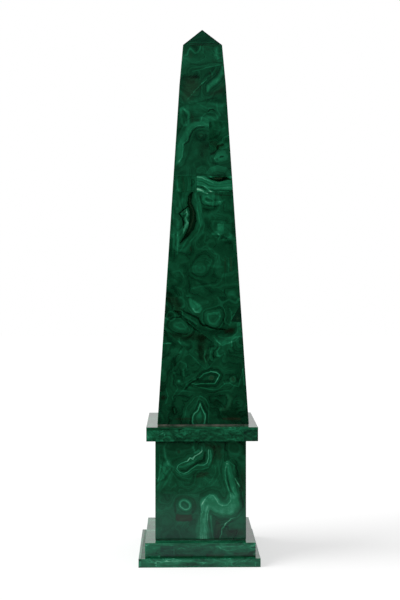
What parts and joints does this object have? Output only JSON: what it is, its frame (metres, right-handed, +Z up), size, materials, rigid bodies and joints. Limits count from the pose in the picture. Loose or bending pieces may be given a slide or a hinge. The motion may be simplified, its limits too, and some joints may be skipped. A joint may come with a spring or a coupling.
{
  "type": "malachite-faced stone obelisk ornament",
  "caption": "Tall tapering four-sided obelisk with a small pyramid top, on a collar, a die and a stepped square plinth, all faced with polished banded green stone.",
  "frame": {"origin": "middle of the underside of the lower plinth", "axes": "+Z up along the obelisk, -Y out of its front face, +X to the right as seen from the front"},
  "size_m": [0.2332, 0.2332, 1.0525],
  "materials": {
    "shaft_malachite": "polished malachite, very dark green with paler rings and bands",
    "die_malachite": "polished malachite, dark green with light green loops",
    "collar_malachite": "polished malachite, streaked lengthwise in mid green",
    "plinth_malachite": "polished malachite, streaked mid green",
    "core_stone": "plain sawn stone, hidden",
    "pale_joint_filler": "matt greyish pink filler, broken along its length",
    "dark_bedding": "dark green bedding, satin"
  },
  "bodies": {
    "root": {"collar_back": "collar_malachite", "collar_core": "core_stone", "collar_front": "collar_malachite", "collar_left": "collar_malachite", "collar_right": "collar_malachite", "collar_top": "collar_malachite", "collar_underside": "collar_malachite", "die_back": "die_malachite", "die_bed": "dark_bedding", "die_core": "core_stone", "die_front": "die_malachite", "die_left": "die_malachite", "die_right": "die_malachite", "lower_plinth_back": "plinth_malachite", "lower_plinth_core": "core_stone", "lower_plinth_front": "plinth_malachite", "lower_plinth_left": "plinth_malachite", "lower_plinth_right": "plinth_malachite", "lower_plinth_top": "plinth_malachite", "pyramidion_back": "shaft_malachite", "pyramidion_core": "core_stone", "pyramidion_front": "shaft_malachite", "pyramidion_left": "shaft_malachite", "pyramidion_right": "shaft_malachite", "shaft_bed": "pale_joint_filler", "shaft_core": "core_stone", "shaft_lower_back": "shaft_malachite", "shaft_lower_front": "shaft_malachite", "shaft_lower_left": "shaft_malachite", "shaft_lower_right": "shaft_malachite", "shaft_middle_back": "shaft_malachite", "shaft_middle_front": "shaft_malachite", "shaft_middle_left": "shaft_malachite", "shaft_middle_right": "shaft_malachite", "shaft_upper_back": "shaft_malachite", "shaft_upper_front": "shaft_malachite", "shaft_upper_left": "shaft_malachite", "shaft_upper_right": "shaft_malachite", "upper_plinth_back": "plinth_malachite", "upper_plinth_core": "core_stone", "upper_plinth_front": "plinth_malachite", "upper_plinth_left": "plinth_malachite", "upper_plinth_right": "plinth_malachite", "upper_plinth_top": "plinth_malachite"}
  },
  "joints": []
}
